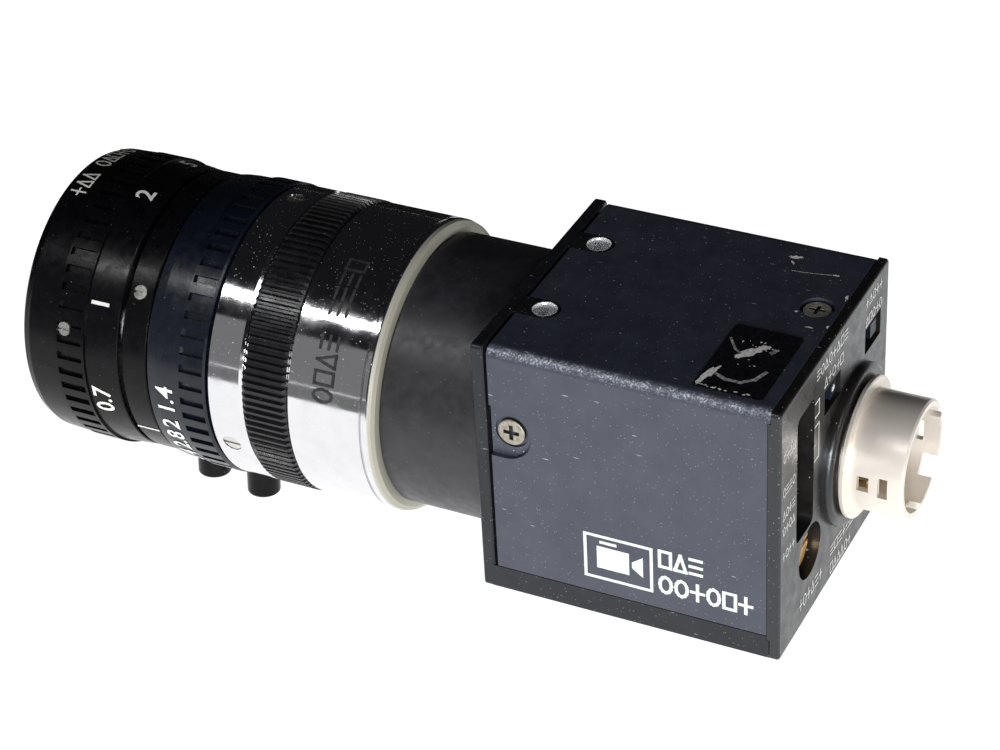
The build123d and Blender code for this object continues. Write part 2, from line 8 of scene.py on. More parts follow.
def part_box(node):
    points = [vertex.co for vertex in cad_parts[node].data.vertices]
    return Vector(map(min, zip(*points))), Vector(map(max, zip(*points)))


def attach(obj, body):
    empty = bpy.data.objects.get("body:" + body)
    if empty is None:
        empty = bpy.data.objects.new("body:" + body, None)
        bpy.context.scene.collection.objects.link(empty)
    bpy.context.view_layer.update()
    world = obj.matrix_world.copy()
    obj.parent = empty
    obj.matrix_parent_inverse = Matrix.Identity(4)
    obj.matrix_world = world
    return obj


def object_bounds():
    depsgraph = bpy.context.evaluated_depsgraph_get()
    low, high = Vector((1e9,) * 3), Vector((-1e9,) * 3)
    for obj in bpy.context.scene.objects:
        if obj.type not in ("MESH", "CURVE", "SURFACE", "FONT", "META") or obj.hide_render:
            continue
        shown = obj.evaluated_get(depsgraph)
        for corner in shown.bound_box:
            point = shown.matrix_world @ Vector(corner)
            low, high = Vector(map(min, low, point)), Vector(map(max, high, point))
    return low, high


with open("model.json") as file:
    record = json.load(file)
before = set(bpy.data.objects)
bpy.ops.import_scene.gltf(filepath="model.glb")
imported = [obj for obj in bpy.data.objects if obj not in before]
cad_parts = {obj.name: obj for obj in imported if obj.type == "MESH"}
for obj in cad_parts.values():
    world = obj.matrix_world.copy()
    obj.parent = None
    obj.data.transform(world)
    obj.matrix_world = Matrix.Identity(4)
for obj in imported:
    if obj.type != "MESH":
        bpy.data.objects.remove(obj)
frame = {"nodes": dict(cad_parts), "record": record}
CAD_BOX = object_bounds()

# Lengths in this file are millimetres until they become mesh points, which are metres.
MM = 0.001
RNG = random.Random(7)

# ---- places worked out from the frame -------------------------------------------------
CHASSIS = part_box("front_chassis")
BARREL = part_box("mount_barrel")
FACE_Y = CHASSIS[0].y / MM                              # camera front face
AXIS_Z = (BARREL[0].z + BARREL[1].z) / 2 / MM           # optical axis
HALF = CHASSIS[1].x / MM                                # half the body width
TOP_Z = CHASSIS[1].z / MM
BODY_L = 32.3                   # front face to rear face
REAR_Y = FACE_Y + BODY_L
LABEL_T = 0.08                  # thickness of the worn label
TOP_TAPS = ((6.5, 4.15), (-6.5, 4.15))          # x, and y behind the front face
# Lens heights run ahead of the front face.
SEAT_HEIGHT = 12.0              # dull rear shoulder of the lens
BARREL_SIGNS = 17.2             # middle of each printed row
IRIS_NUMBERS = 35.9
INDEX_LINE = 39.85
FOCUS_NUMBERS = 44.1
RIM_SIGNS = 51.6
INDEX_ANGLE = -24.6             # degrees from +X towards +Z
NUMBER_HEIGHT = 2.0
SIGN_R = 15.7                   # radius that the rows of signs are spread over


def lens_point(radius, height, angle):
    """A point on the lens: angle runs in degrees from +X towards +Z."""
    turn = math.radians(angle)
    return Vector((
        radius * math.cos(turn) * MM,
        (FACE_Y - height) * MM,
        (AXIS_Z + radius * math.sin(turn)) * MM,
    ))


# ---- camera ---------------------------------------------------------------------------
VIEW_AZIMUTH = 117.67
VIEW_ELEVATION = 34.29
VIEW_ROLL = -3.23
VIEW_DISTANCE = 301.8           # from the centre of the front face of the body
VIEW_OFFSET = (-4.2, 1.5)       # right and up of the centre of the body's front face
FOCAL_LENGTH = 104.97
SENSOR_WIDTH = 36.0
FLOOR_REACH = 1.6               # half the floor, in metres
FLOOR_GAP = 0.0003              # the floor lies this far under the object, in metres


def view_axes():
    """Right, up and backward directions of the camera."""
    az, el, roll = (math.radians(v) for v in (VIEW_AZIMUTH, VIEW_ELEVATION, VIEW_ROLL))
    back = Vector((math.sin(az) * math.cos(el), -math.cos(az) * math.cos(el), math.sin(el)))
    level = Vector((math.cos(az), math.sin(az), 0))
    rise = back.cross(level)
    right = math.cos(roll) * level + math.sin(roll) * rise
    return right, back.cross(right), back


def make_camera():
    right, up, back = view_axes()
    camera = bpy.data.objects.new("camera", bpy.data.cameras.new("camera"))
    bpy.context.scene.collection.objects.link(camera)
    centre = Vector((0, FACE_Y, AXIS_Z))
    place = centre + back * VIEW_DISTANCE + right * VIEW_OFFSET[0] + up * VIEW_OFFSET[1]
    turn = Matrix((right, up, back)).transposed().to_4x4()
    camera.matrix_world = Matrix.Translation(place * MM) @ turn
    camera.data.lens = FOCAL_LENGTH
    camera.data.sensor_width = SENSOR_WIDTH
    camera.data.clip_start = 0.01
    camera.data.clip_end = 10
    bpy.context.scene.camera = camera


# ---- studio ---------------------------------------------------------------------------
def direction(azimuth, elevation):
    az, el = math.radians(azimuth), math.radians(elevation)
    return Vector((math.sin(az) * math.cos(el), -math.cos(az) * math.cos(el), math.sin(el)))


def softbox(name, azimuth, elevation, distance, size, power):
    """An area light that faces the object."""
    light = bpy.data.lights.new(name, "AREA")
    light.shape = "RECTANGLE"
    light.size, light.size_y = size
    light.energy = power
    lamp = bpy.data.objects.new(name, light)
    bpy.context.scene.collection.objects.link(lamp)
    way = direction(azimuth, elevation)
    target = Vector((0, 0, AXIS_Z * MM))
    turn = way.to_track_quat("Z", "Y").to_matrix().to_4x4()
    lamp.matrix_world = Matrix.Translation(target + way * distance) @ turn


def flat_sheet(name, low, high, height, look):
    """A level rectangle of the set, in metres, which is not part of the object."""
    corners = [low, (high[0], low[1]), high, (low[0], high[1])]
    mesh = bpy.data.meshes.new(name)
    mesh.from_pydata([(x, y, height) for x, y in corners], [], [(0, 1, 2, 3)])
    sheet = bpy.data.objects.new(name, mesh)
    bpy.context.scene.collection.objects.link(sheet)
    sheet.data.materials.append(look.material)
    return sheet


def make_studio():
    scene = bpy.context.scene
    scene.view_settings.view_transform = "Standard"
    world = bpy.data.worlds.new("room")
    world.use_nodes = True
    world.node_tree.nodes["Background"].inputs["Color"].default_value = (0.008, 0.008, 0.009, 1)
    scene.world = world
    white = Look("floor_white", (0.25, 0.25, 0.25), 0.9)
    white.glow(1.02)
    height = CAD_BOX[0].z - FLOOR_GAP
    flat_sheet("floor", (-FLOOR_REACH, -FLOOR_REACH), (FLOOR_REACH, FLOOR_REACH), height, white)
    softbox("key", 116, 9, 0.6, (0.18, 0.14), 3.5)
    softbox("streak", 57, 47, 0.7, (0.30, 0.035), 0.9)
    softbox("grey_wall", 64, 13, 0.9, (0.9, 0.62), 0.34)
    softbox("rear", 168, 28, 0.6, (0.10, 0.22), 0.35)
    grey_card("near_table", (0.12, -0.5), (1.5, 0.5), 0.18)
    grey_card("far_table", (-1.5, -1.5), (-0.03, -0.004), 0.006)


def grey_card(name, low, high, level):
    """A flat card on the floor that only reflections show, as the dim table beyond the paper."""
    grey = Look(name, (0.0, 0.0, 0.0), 1.0, 0.0, Specular_IOR_Level=0.0)
    grey.glow(level)
    card = flat_sheet(name, low, high, CAD_BOX[0].z, grey)
    card.visible_camera = False
    card.visible_diffuse = False
    card.visible_shadow = False


# ---- materials ------------------------------------------------------------------------
class Look:
    """One material: a Principled shader and short calls that feed it."""

    def __init__(self, name, colour, roughness, metallic=0.0, **sockets):
        self.material = bpy.data.materials.new(name)
        self.material.use_nodes = True
        self.tree = self.material.node_tree
        self.shader = self.tree.nodes["Principled BSDF"]
        self.set(**{"Base Color": (*colour, 1), "Roughness": roughness, "Metallic": metallic})
        self.set(**{key.replace("_", " "): value for key, value in sockets.items()})
        self.place = None
        self.heights = []

    def set(self, **values):
        for key, value in values.items():
            self.shader.inputs[key].default_value = value

    def glow(self, strength):
        self.set(**{"Emission Color": (1, 1, 1, 1), "Emission Strength": strength})

    def add(self, kind, inputs=None, **settings):
        node = self.tree.nodes.new("ShaderNode" + kind)
        for key, value in settings.items():
            setattr(node, key, value)
        for key, value in (inputs or {}).items():
            if isinstance(value, bpy.types.NodeSocket):
                self.tree.links.new(value, node.inputs[key])
            else:
                node.inputs[key].default_value = value
        return node

    def feed(self, socket, value):
        self.tree.links.new(value, self.shader.inputs[socket])

    def at(self, stretch=(1, 1, 1), turn=(0, 0, 0)):
        """The place in millimetres, turned and stretched."""
        if self.place is None:
            self.place = self.add("TexCoord").outputs["Object"]
        scale = tuple(s / MM for s in stretch)
        spin = tuple(math.radians(t) for t in turn)
        mapping = self.add("Mapping", {"Vector": self.place, "Rotation": spin, "Scale": scale})
        return mapping.outputs["Vector"]

    def split(self):
        return self.add("SeparateXYZ", {"Vector": self.at()}).outputs

    def noise(self, scale, detail=3, place=None, rough=0.5):
        vector = place or self.at()
        values = {"Vector": vector, "Scale": scale, "Detail": detail, "Roughness": rough}
        return self.add("TexNoise", values).outputs["Fac"]

    def cells(self, scale, place=None, output="Distance"):
        values = {"Vector": place or self.at(), "Scale": scale}
        return self.add("TexVoronoi", values, feature="F1").outputs[output]

    def between(self, value, low, high, to_low=0.0, to_high=1.0):
        values = {"Value": value, "From Min": low, "From Max": high, "To Min": to_low, "To Max": to_high}
        return self.add("MapRange", values, clamp=True).outputs["Result"]

    def math(self, operation, a, b=0.0):
        return self.add("Math", {0: a, 1: b}, operation=operation).outputs[0]

    def mix(self, amount, a, b):
        """A colour between a and b; each is a colour or a socket."""
        node = self.add("Mix", {0: amount}, data_type="RGBA")
        for key, value in ((6, a), (7, b)):
            if isinstance(value, bpy.types.NodeSocket):
                self.tree.links.new(value, node.inputs[key])
            else:
                node.inputs[key].default_value = (*value, 1)
        return node.outputs[2]

    def bump(self, height, depth):
        """Adds relief of that depth in millimetres."""
        values = {"Height": height, "Distance": depth * MM, "Strength": 1.0}
        if self.heights:
            values["Normal"] = self.heights[-1]
        self.heights.append(self.add("Bump", values).outputs["Normal"])
        self.feed("Normal", self.heights[-1])

    def specks(self, scale, size, share):
        """Sparse round dots: 1 on a dot. share is roughly the part of the cells that has one."""
        near = self.between(self.cells(scale), size, size * 0.6)
        chosen = self.cells(scale, output="Color")
        pick = self.add("SeparateXYZ", {"Vector": chosen}).outputs[0]
        return self.math("MULTIPLY", near, self.math("LESS_THAN", pick, share))

    def scratches(self, length, width, turn, share=0.3):
        """Short straight scratches across turned, stretched cells: 1 on a scratch."""
        place = self.at((1, 1 / length, 1), turn)
        near = self.between(self.cells(1.0, place), width, width * 0.5)
        pick = self.add("SeparateXYZ", {"Vector": self.cells(1.0, place, output="Color")}).outputs[0]
        return self.math("MULTIPLY", near, self.math("LESS_THAN", pick, share))

    def edges(self, planes, width):
        """1 close to where two of the planes meet; each plane is (axis, place, both sides)."""
        places = self.split()
        gaps = []
        for axis, place, mirrored in planes:
            value = places[axis]
            if mirrored:
                value = self.math("ABSOLUTE", value)
            gap = self.math("ABSOLUTE", self.math("SUBTRACT", value, place))
            gaps.append(self.between(gap, width, width * 0.3))
        total = gaps[0]
        for gap in gaps[1:]:
            total = self.math("ADD", total, gap)
        worn = self.between(self.noise(0.9, 5), 0.34, 0.56, 0.25, 1.0)
        return self.math("MULTIPLY", self.between(total, 1.2, 1.9), worn)


BLUISH = (0.86, 0.92, 1.0, 1.0)


def painted(name, colour, light, roughness, gloss, dust, planes, rub, width=0.2):
    """Fine-textured paint with cloudy tone, dust, short scratches and rubbed edges."""
    look = Look(name, colour, roughness, 0.0, Specular_IOR_Level=gloss, Specular_Tint=BLUISH)
    tone = look.mix(look.between(look.noise(0.30, 4), 0.35, 0.7), colour, light)
    grain = look.noise(9, 3)
    tone = look.mix(look.between(grain, 0.35, 0.8, 0.0, 0.30), tone, light)
    marks = look.scratches(7, 0.065, (25, 0, 35), 0.45)
    marks = look.math("MAXIMUM", marks, look.scratches(5, 0.065, (-50, 20, -20), 0.45))
    tone = look.mix(look.math("MULTIPLY", marks, 0.65), tone, (0.42, 0.43, 0.46))
    dots = look.specks(1.2, 0.10, dust)
    fine = look.specks(2.1, 0.13, dust)
    tone = look.mix(look.math("MULTIPLY", dots, 0.75), tone, (0.58, 0.56, 0.52))
    tone = look.mix(look.math("MULTIPLY", fine, 0.45), tone, (0.45, 0.45, 0.44))
    edge = look.edges(planes, width)
    sparkle = look.between(look.noise(5, 2), 0.49, 0.60, 0.15, 1.0)
    tone = look.mix(look.math("MULTIPLY", look.math("MULTIPLY", edge, sparkle), 0.75), tone, rub)
    look.feed("Base Color", tone)
    look.feed("Roughness", look.between(look.noise(0.8, 4), 0.3, 0.7, roughness - 0.07, roughness + 0.10))
    look.bump(grain, 0.010)
    look.bump(look.math("ADD", marks, dots), 0.006)
    return look


BODY_PLANES = [(0, HALF, True), (1, FACE_Y, False), (1, REAR_Y, False), (2, TOP_Z, False), (2, 0.0, False)]


def cover_paint():
    planes = [(0, HALF, True), (2, TOP_Z, False)]
    dark, light, rubbed = (0.024, 0.0265, 0.041), (0.036, 0.0395, 0.058), (0.50, 0.53, 0.62)
    return painted("cover_paint", dark, light, 0.40, 0.90, 0.60, planes, rubbed, 1.1)


def chassis_paint():
    dark, light, rubbed = (0.0065, 0.0065, 0.0085), (0.012, 0.012, 0.0155), (0.12, 0.12, 0.13)
    return painted("chassis_paint", dark, light, 0.36, 0.48, 0.45, BODY_PLANES, rubbed)


def panel_paint():
    dark, light, rubbed = (0.0075, 0.0066, 0.0060), (0.012, 0.0105, 0.0095), (0.10, 0.09, 0.08)
    return painted("panel_paint", dark, light, 0.32, 0.70, 0.35, BODY_PLANES, rubbed)


def anodised(name, colour, light, roughness, dust, gloss):
    """Black anodised metal: turning marks round the axis, dust and faint scratches."""
    look = Look(name, colour, roughness, 0.0, Specular_IOR_Level=gloss)
    tone = look.mix(look.between(look.noise(0.5, 3), 0.35, 0.7), colour, light)
    dots = look.specks(1.5, 0.08, dust)
    fine = look.specks(3.4, 0.12, dust)
    marks = look.scratches(7, 0.04, (10, 30, 60), 0.10)
    tone = look.mix(look.math("MULTIPLY", dots, 0.40), tone, (0.42, 0.41, 0.40))
    tone = look.mix(look.math("MULTIPLY", fine, 0.20), tone, (0.35, 0.35, 0.35))
    tone = look.mix(look.math("MULTIPLY", marks, 0.25), tone, (0.16, 0.16, 0.17))
    look.feed("Base Color", tone)
    look.feed("Roughness", look.between(look.noise(0.9, 3), 0.3, 0.7, roughness - 0.05, roughness + 0.08))
    rings = look.noise(3.0, 2, look.at((0.05, 6, 0.05)))
    look.bump(rings, 0.004)
    return look


def bright_metal(name, colour, roughness, dust, grain, seat=False, dullness=0.0):
    """Polished plated metal with dust, fine turning lines and small stains."""
    look = Look(name, colour, roughness, 1.0)
    dots = look.specks(1.6, 0.10, dust)
    fine = look.specks(3.6, 0.14, dust)
    film = look.between(look.noise(0.5, 3), 0.40, 0.75)
    marks = look.math("MAXIMUM", dots, look.math("MULTIPLY", fine, 0.7))
    tone = look.mix(look.math("MULTIPLY", film, 0.20), colour, tuple(c * 0.75 for c in colour))
    tone = look.mix(look.math("MULTIPLY", marks, 0.55), tone, (0.86, 0.84, 0.80))
    polish = look.between(film, 0, 1, roughness, roughness + 0.08)
    rough = look.math("ADD", polish, look.math("MULTIPLY", marks, 0.5))
    metal = look.math("SUBTRACT", 1.0 - dullness, look.math("MULTIPLY", marks, 0.6))
    if seat:
        height = look.math("SUBTRACT", FACE_Y - SEAT_HEIGHT, look.split()[1])
        dull = look.between(height, 0.1, -0.1)
        tone = look.mix(dull, tone, (0.40, 0.39, 0.32))
        rough = look.math("ADD", rough, look.math("MULTIPLY", dull, 0.35))
        metal = look.math("SUBTRACT", metal, look.math("MULTIPLY", dull, 0.8))
    look.feed("Base Color", tone)
    look.feed("Roughness", rough)
    look.feed("Metallic", metal)
    look.bump(look.noise(1.2, 2, look.at((0.02, 8, 0.02))), 0.0015)
    look.bump(look.noise(11, 2), grain)
    return look


def plain(name, colour, light, roughness, metallic=0.0, scale=2.0, depth=0.004, **sockets):
    """A small part's finish: two close tones, uneven gloss and a fine relief."""
    look = Look(name, colour, roughness, metallic, **sockets)
    field = look.noise(scale, 4)
    look.feed("Base Color", look.mix(look.between(field, 0.35, 0.7), colour, light))
    gloss = look.noise(scale * 1.7, 3)
    look.feed("Roughness", look.between(gloss, 0.3, 0.7, roughness - 0.05, roughness + 0.1))
    look.bump(look.noise(scale * 6, 2), depth)
    return look


def cover_screw_steel(node, axis, dark, light):
    """Steel of a cover screw, with painted shade: dark colour, and less metal, in the drive recess below
    the face of the head, where shade falls.
    """
    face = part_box(node)[1][axis] / MM
    look = plain(node, dark, light, 0.42, 0.65)
    depth = look.math("SUBTRACT", face, look.math("ABSOLUTE", look.split()[axis]))
    # Painted shade: the deeper below the head's face, the darker and less metallic the steel, standing in
    # for the recess's shadow.
    recess_shade = look.between(depth, 0.05, 0.14)
    tone = look.shader.inputs["Base Color"].links[0].from_socket
    look.feed("Base Color", look.mix(recess_shade, tone, (0.012, 0.012, 0.012)))
    look.feed("Metallic", look.between(recess_shade, 0.0, 1.0, 0.65, 0.0))
    return look


def glass(name, colour, coat):
    look = Look(name, colour, 0.02, 0.0, IOR=1.55, Transmission_Weight=1.0, Coat_Weight=coat)
    look.shader.inputs["Coat Tint"].default_value = (0.55, 0.62, 0.95, 1)
    look.bump(look.noise(1.5, 3), 0.0004)
    return look


def dress_nodes():
    """Gives each CAD node its finished material."""
    black = anodised("black_anodised", (0.0015, 0.0015, 0.0020), (0.0030, 0.0030, 0.0040), 0.24, 0.25, 0.18)
    ring = anodised("ring_anodised", (0.0026, 0.0040, 0.0085), (0.0048, 0.0070, 0.0150), 0.24, 0.25, 0.46)
    looks = {
        "chassis_paint": chassis_paint(),
        "cover_paint": cover_paint(),
        "panel_paint": panel_paint(),
        "black_anodised": black,
        "ring_anodised": ring,
        "bright_chrome": bright_metal("bright_chrome", (0.80, 0.80, 0.82), 0.07, 0.40, 0.0006, True),
        "nickel": bright_metal("nickel", (0.90, 0.84, 0.76), 0.36, 0.30, 0.004, dullness=0.43),
        "screw_steel": plain("screw_steel", (0.30, 0.27, 0.21), (0.52, 0.48, 0.40), 0.42, 0.65),
        "set_screw_steel": plain("set_screw_steel", (0.60, 0.59, 0.56), (0.70, 0.69, 0.66), 0.22, 0.9, 0.6),
        "lens_glass": glass("lens_glass", (0.90, 0.95, 1.0), 0.6),
        "filter_glass": glass("filter_glass", (0.60, 0.88, 0.90), 0.3),
        "ceramic": plain("ceramic", (0.30, 0.28, 0.26), (0.36, 0.34, 0.31), 0.6),
        "circuit_board": plain("circuit_board", (0.01, 0.09, 0.04), (0.02, 0.13, 0.06), 0.3),
        "chip_plastic": plain("chip_plastic", (0.015, 0.015, 0.016), (0.03, 0.03, 0.03), 0.5),
        "connector_plastic": plain("connector_plastic", (0.70, 0.66, 0.55), (0.76, 0.72, 0.62), 0.5),
        "switch_plastic": plain("switch_plastic", (0.012, 0.016, 0.026), (0.020, 0.026, 0.038), 0.22),
        "key_plastic": plain("key_plastic", (0.62, 0.62, 0.58), (0.72, 0.72, 0.68), 0.45),
        "brass": plain("brass", (0.90, 0.50, 0.12), (0.98, 0.66, 0.26), 0.32, 0.8),
        "gold_pin": plain("gold_pin", (0.86, 0.62, 0.24), (0.90, 0.70, 0.35), 0.18, 1.0),
        "seal_rubber": plain("seal_rubber", (0.012, 0.012, 0.012), (0.02, 0.02, 0.02), 0.7),
        "label_film": plain("label_film", (0.004, 0.004, 0.005), (0.010, 0.010, 0.012), 0.12),
        "blade_steel": plain("blade_steel", (0.03, 0.03, 0.032), (0.05, 0.05, 0.05), 0.35, 0.6),
    }
    for part in frame["record"]["subparts"]:
        node = frame["nodes"][part["node"]]
        node.data.materials.clear()
        node.data.materials.append(looks[part["material_slot"]].material)
    barrel = anodised("barrel_black", (0.010, 0.010, 0.0135), (0.016, 0.016, 0.021), 0.42, 0.50, 0.66)
    frame["nodes"]["mount_barrel"].data.materials[0] = barrel.material
    grip = anodised("grip_black", (0.0045, 0.0045, 0.0055), (0.0090, 0.0090, 0.0110), 0.26, 0.50, 0.62)
    frame["nodes"]["lens_grip_ring"].data.materials[0] = grip.material
    screws = (
        ("cover_side_screws", 0, (0.27, 0.25, 0.20), (0.47, 0.44, 0.37)),
        # The rear screw on top gets lighter steel tones than the side screws: a painted highlight, as its
        # head faces the dark room above.
        ("cover_rear_screw", 2, (0.40, 0.37, 0.31), (0.62, 0.58, 0.50)),
    )
    for name, axis, dark, light in screws:
        finish = cover_screw_steel(name, axis, dark, light)
        frame["nodes"][name].data.materials[0] = finish.material
    for name in ("termination_slider", "sync_slider"):
        slider = plain(name, (0.005, 0.008, 0.015), (0.008, 0.012, 0.022), 0.35, Specular_IOR_Level=0.25)
        frame["nodes"][name].data.materials[0] = slider.material


# ---- pieces ---------------------------------------------------------------------------
def mesh_piece(name, points, faces, look, body="camera"):
    """A mesh of points in metres that rides on a body."""
    mesh = bpy.data.meshes.new(name)
    mesh.from_pydata([tuple(p) for p in points], [], faces)
    mesh.materials.append(look.material)
    piece = bpy.data.objects.new(name, mesh)
    bpy.context.scene.collection.objects.link(piece)
    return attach(piece, body)


def on_side(y, z, lift):
    """A point on the +X face, from its place behind the front face and above the axis."""
    return Vector((HALF + lift, FACE_Y + y, AXIS_Z + z)) * MM


def on_top(x, y, lift):
    return Vector((x, FACE_Y + y, TOP_Z + lift)) * MM


def on_label(x, y, lift):
    return on_top(x, y, lift + LABEL_T)


def on_rear(u, z, lift):
    """The rear face, with u running towards -X, to the right for someone behind."""
    return Vector((-u, REAR_Y + lift, AXIS_Z + z)) * MM


class Marks:
    """Flat printed marks gathered into one mesh. place turns (u, v, lift) into a point."""

    def __init__(self, place, step=9.0):
        self.place = place
        self.step = step
        self.points = []
        self.faces = []

    def polygon(self, corners):
        start = len(self.points)
        lift = 0.02 + 0.0011 * (len(self.faces) % 16)
        self.points += [self.place(u, v, lift) for u, v in corners]
        self.faces.append(tuple(range(start, len(self.points))))

    def line(self, a, b, width):
        along = Vector((b[0] - a[0], b[1] - a[1]))
        along = along.normalized() * width / 2
        side = Vector((-along.y, along.x))
        ends = (Vector(a) - along, Vector(b) + along)
        steps = max(1, round((ends[1] - ends[0]).length / self.step))
        for i in range(steps):
            p = ends[0].lerp(ends[1], i / steps)
            q = ends[0].lerp(ends[1], (i + 1) / steps)
            self.polygon([tuple(p - side), tuple(q - side), tuple(q + side), tuple(p + side)])

    def path(self, points, width, close=False):
        ends = list(points) + ([points[0]] if close else [])
        for a, b in zip(ends, ends[1:]):
            self.line(a, b, width)

    def blot(self, centre, radii, turn=0.0, ragged=0.35, count=18):
        """A ragged filled patch."""
        corners = []
        for i in range(count):
            angle = 2 * math.pi * i / count
            reach = 1 + ragged * (RNG.random() - 0.5) * 2
            x, y = radii[0] * reach * math.cos(angle), radii[1] * reach * math.sin(angle)
            c, s = math.cos(math.radians(turn)), math.sin(math.radians(turn))
            corners.append((centre[0] + x * c - y * s, centre[1] + x * s + y * c))
        self.polygon(corners)

    def digits(self, text, centre, height):
        """Numerals centred on a point, from the built-in plain font."""
        curve = bpy.data.curves.new("digits", "FONT")
        curve.body = text
        curve.size = height / 0.69
        curve.align_x = "CENTER"
        curve.align_y = "CENTER"
        curve.resolution_u = 3
        curve.offset = 0.05
        holder = bpy.data.objects.new("digits", curve)
        mesh = bpy.data.meshes.new_from_object(holder)
        start = len(self.points)
        self.points += [self.place(centre[0] + v.co.x, centre[1] + v.co.y, 0.04) for v in mesh.vertices]
        self.faces += [tuple(start + i for i in face.vertices) for face in mesh.polygons]
        bpy.data.meshes.remove(mesh)
        bpy.data.objects.remove(holder)
        bpy.data.curves.remove(curve)

    def symbols(self, start, end, height, count, width):
        """A row of plain geometric signs along the line from start to end."""
        run = Vector(end) - Vector(start)
        right = run.normalized()
        up = Vector((-right.y, right.x)) * height
        pitch = run.length / count
        across = right * pitch * 0.72
        for i in range(count):
            corner = Vector(start) + right * pitch * i
            sign = SIGNS[RNG.randrange(len(SIGNS))]
            for stroke in sign:
                self.path([tuple(corner + across * u + up * v) for u, v in stroke], width)

    def build(self, name, look, slot, body="camera"):
        return mesh_piece(name, self.points, self.faces, look, body)


def circle_path(count=12):
    turns = [2 * math.pi * i / count for i in range(count + 1)]
    return [(0.5 + 0.5 * math.cos(t), 0.5 + 0.5 * math.sin(t)) for t in turns]


SIGNS = (
    [circle_path()],
    [[(0, 0), (0.5, 1), (1, 0), (0, 0)]],
    [[(0, 0), (1, 0), (1, 1), (0, 1), (0, 0)]],
    [[(0, 0.05), (1, 0.05)], [(0, 0.5), (1, 0.5)], [(0, 0.95), (1, 0.95)]],
    [[(0.5, 0), (0.5, 1)], [(0, 0.5), (1, 0.5)]],
)


def side_print(ink):
    """The outlined badge with a plain camera sign, and two rows of signs beside it."""
    marks = Marks(on_side)
    marks.path([(11.65, -9.85), (18.8, -9.85), (18.8, -4.65), (11.65, -4.65)], 0.34, close=True)
    marks.polygon([(12.9, -8.6), (16.4, -8.6), (16.4, -5.9), (12.9, -5.9)])
    marks.polygon([(16.7, -7.6), (17.9, -8.5), (17.9, -6.0), (16.7, -6.9)])
    marks.path([(13.4, -5.35), (14.9, -5.35)], 0.35)
    marks.symbols((19.7, -6.45), (24.6, -6.45), 1.9, 3, 0.36)
    marks.symbols((19.7, -9.6), (29.9, -9.6), 1.9, 6, 0.36)
    marks.build("side_print", ink, "key_plastic")


def rear_print(ink):
    """Brackets beside the switch slot and the small legends."""
    marks = Marks(on_rear)
    for low, high in ((8.77, 10.4), (3.6, 7.67)):
        marks.path([(-5.85, low), (-4.78, low), (-4.78, high), (-5.85, high)], 0.2)
    for low in (8.9, 4.9, 2.15, 0.3, -2.8):
        marks.symbols((-14.2, low), (-10.9, low), 0.95, 4, 0.13)
    rows = (
        ((-5.5, 12.85), (3.1, 12.85), 1.05, 8), ((-3.4, 10.7), (2.0, 10.7), 1.05, 5),
        ((8.1, 12.85), (13.0, 12.85), 1.0, 5), ((8.1, 10.65), (13.0, 10.65), 1.0, 5),
        ((-9.5, -12.5), (-2.9, -12.5), 1.3, 6), ((-0.7, -11.6), (6.0, -11.6), 1.1, 6),
        ((-0.8, -13.9), (5.4, -13.9), 1.2, 6),
    )
    for start, end, height, count in rows:
        marks.symbols(start, end, height, count, 0.15)
    marks.build("rear_print", ink, "key_plastic")


def label_wear(paper, smear):
    """Torn paper and smeared glue on the black label, and scuffs beside it."""
    marks = Marks(on_label)
    marks.blot((6.1, 25.9), (1.6, 0.55), -38)
    marks.blot((5.1, 26.7), (0.7, 0.35), -60)
    marks.blot((7.2, 25.0), (0.55, 0.3), -30)
    marks.blot((10.9, 23.5), (1.6, 0.38), -18)
    marks.blot((12.3, 23.1), (0.7, 0.25), -10)
    for i in range(14):
        spot = (13.1 - 0.25 * RNG.random(), 22.9 + 6.6 * RNG.random())
        marks.blot(spot, (0.06 + 0.09 * RNG.random(), 0.08 + 0.16 * RNG.random()), 0, 0.5, 7)
    for i in range(16):
        spot = (4.2 + 4.5 * RNG.random(), 24.4 + 3.4 * RNG.random())
        marks.blot(spot, (0.05 + 0.10 * RNG.random(), 0.04 + 0.08 * RNG.random()), 0, 0.5, 7)
    marks.build("label_paper", paper, "label_film")
    glue = Marks(on_label)
    arc = ((10.7, 23.9), (11.3, 25.3), (11.3, 26.8), (10.3, 27.9), (8.9, 28.4))
    for a, b in zip(arc, arc[1:]):
        glue.line(a, b, 0.42)
    inner = ((4.6, 23.1), (6.2, 24.2), (6.7, 24.9))
    for a, b in zip(inner, inner[1:]):
        glue.line(a, b, 0.26)
    glue.blot((5.3, 27.9), (0.6, 0.3), -30)
    glue.build("label_glue", smear, "label_film")
    scuff = Marks(on_top)
    scuff.blot((-11.5, 23.6), (0.25, 0.75), 10, 0.5)
    scuff.blot((-10.4, 23.7), (0.35, 0.12), 30, 0.5)
    scuff.path([(-9.0, 24.1), (-9.1, 25.4), (-9.35, 26.9), (-9.7, 28.55)], 0.07)
    scuff.blot((-9.7, 28.5), (0.14, 0.3), 10, 0.5)
    scuff.blot((-6.3, 30.9), (0.5, 0.14), 10, 0.5)
    scuff.blot((-2.2, 27.2), (0.16, 0.14), 0, 0.5)
    scuff.blot((0.0, 29.4), (0.12, 0.35), 5, 0.5)
    scuff.blot((-0.7, 31.0), (0.3, 0.1), 0, 0.5)
    scuff.build("top_scuffs", paper, "label_film")


def lens_marks(height, radius, angle_at=0.0):
    """Marks on a lens ring: u runs round it in millimetres, v runs forward."""
    def place(u, v, lift):
        angle = angle_at + math.degrees(u / radius(height))
        return lens_point(radius(height + v) + 0.02 + lift, height + v, angle)
    return Marks(place, 0.6)


